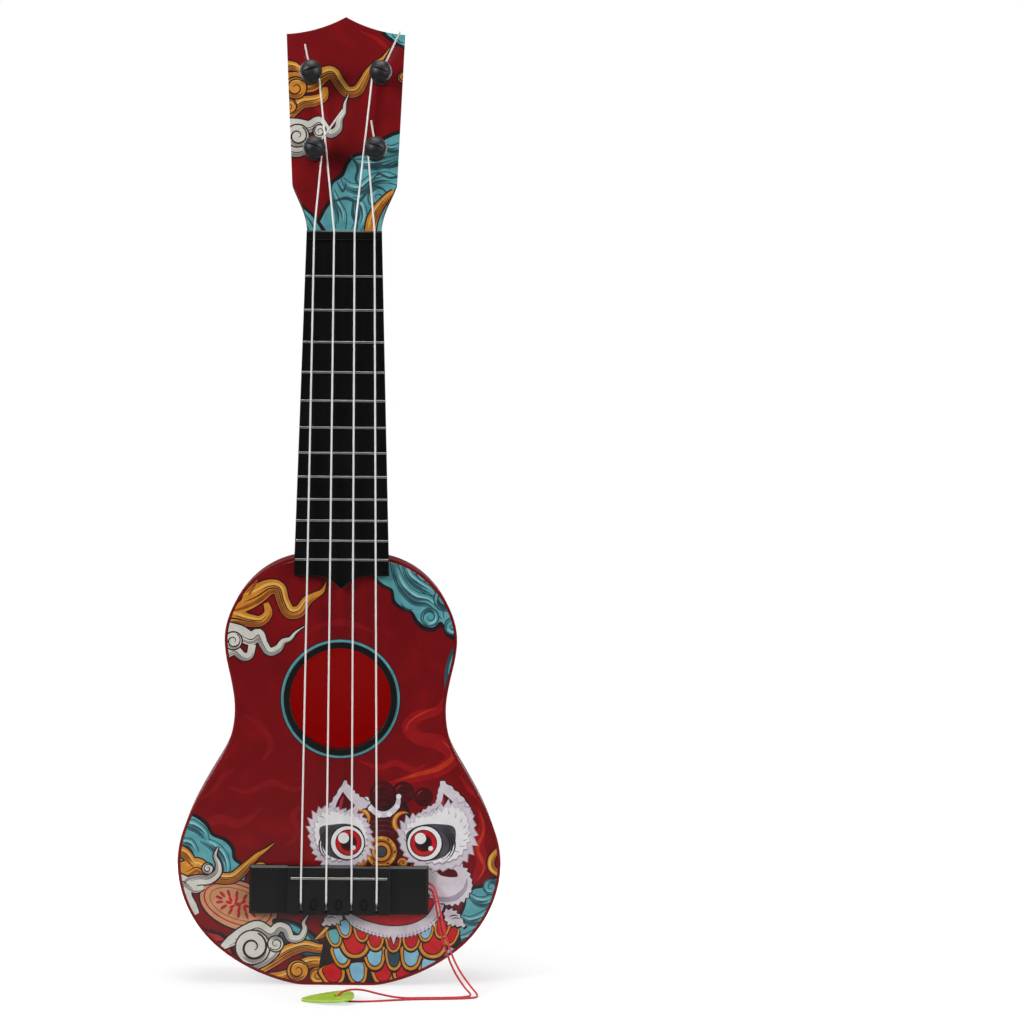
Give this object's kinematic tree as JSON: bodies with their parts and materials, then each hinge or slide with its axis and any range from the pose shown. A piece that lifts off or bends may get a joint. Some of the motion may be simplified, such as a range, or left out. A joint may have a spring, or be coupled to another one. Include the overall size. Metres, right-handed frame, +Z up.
{
  "type": "toy ukulele",
  "caption": "Toy ukulele with a moulded two-part body, printed front, fretted black board, ball-knob tuning pegs that turn, and a pick tied on by a cord.",
  "frame": {"origin": "middle of the flat foot at the bottom of the body", "axes": "+Z up along the neck, the face looks towards -Y, +X to the right of someone looking at the face"},
  "size_m": [0.1402, 0.0959, 0.42],
  "materials": {
    "red_shell": "moulded dark red ABS, glossy on the neck, fine grain on the back",
    "printed_panel": "printed and clear-coated, red ground with coloured cloud pattern",
    "black_plastic": "satin black ABS",
    "fret_metal": "satin silver",
    "steel": "zinc plated",
    "white_plastic": "glossy white ABS",
    "nylon": "clear white monofilament",
    "green_plastic": "lime green, slightly translucent",
    "cord": "red braided cord"
  },
  "bodies": {
    "instrument": {"body_back_shell": "red_shell", "front_panel": "printed_panel", "soundhole_ring": "black_plastic", "neck_shell": "red_shell", "head_face_panel": "printed_panel", "fingerboard": "black_plastic", "frets": "fret_metal", "nut": "black_plastic", "bridge": "black_plastic", "saddle": "fret_metal", "bridge_screws": "steel", "heel_screw": "steel", "string_1": "nylon", "string_2": "nylon", "string_3": "nylon", "string_4": "nylon", "pick": "green_plastic", "pick_cord": "cord"},
    "peg_lower_left": {"peg_post_lower_left": "black_plastic", "string_winding_lower_left": "nylon", "peg_key_lower_left": "white_plastic", "key_screw_lower_left": "steel"},
    "peg_upper_left": {"peg_post_upper_left": "black_plastic", "string_winding_upper_left": "nylon", "peg_key_upper_left": "white_plastic", "key_screw_upper_left": "steel"},
    "peg_upper_right": {"peg_post_upper_right": "black_plastic", "string_winding_upper_right": "nylon", "peg_key_upper_right": "white_plastic", "key_screw_upper_right": "steel"},
    "peg_lower_right": {"peg_post_lower_right": "black_plastic", "string_winding_lower_right": "nylon", "peg_key_lower_right": "white_plastic", "key_screw_lower_right": "steel"}
  },
  "joints": [
    {"name": "peg_lower_left_turn", "type": "hinge", "parent": "instrument", "child": "peg_lower_left", "pos_m": [-0.0133, -0.01275, 0.36027], "axis": [0, -0.9903, 0.1392], "continuous": true},
    {"name": "peg_upper_left_turn", "type": "hinge", "parent": "instrument", "child": "peg_upper_left", "pos_m": [-0.015, -0.0081, 0.39334], "axis": [0, -0.9903, 0.1392], "continuous": true},
    {"name": "peg_upper_right_turn", "type": "hinge", "parent": "instrument", "child": "peg_upper_right", "pos_m": [0.015, -0.0081, 0.39334], "axis": [0, -0.9903, 0.1392], "continuous": true},
    {"name": "peg_lower_right_turn", "type": "hinge", "parent": "instrument", "child": "peg_lower_right", "pos_m": [0.0133, -0.01275, 0.36027], "axis": [0, -0.9903, 0.1392], "continuous": true}
  ]
}
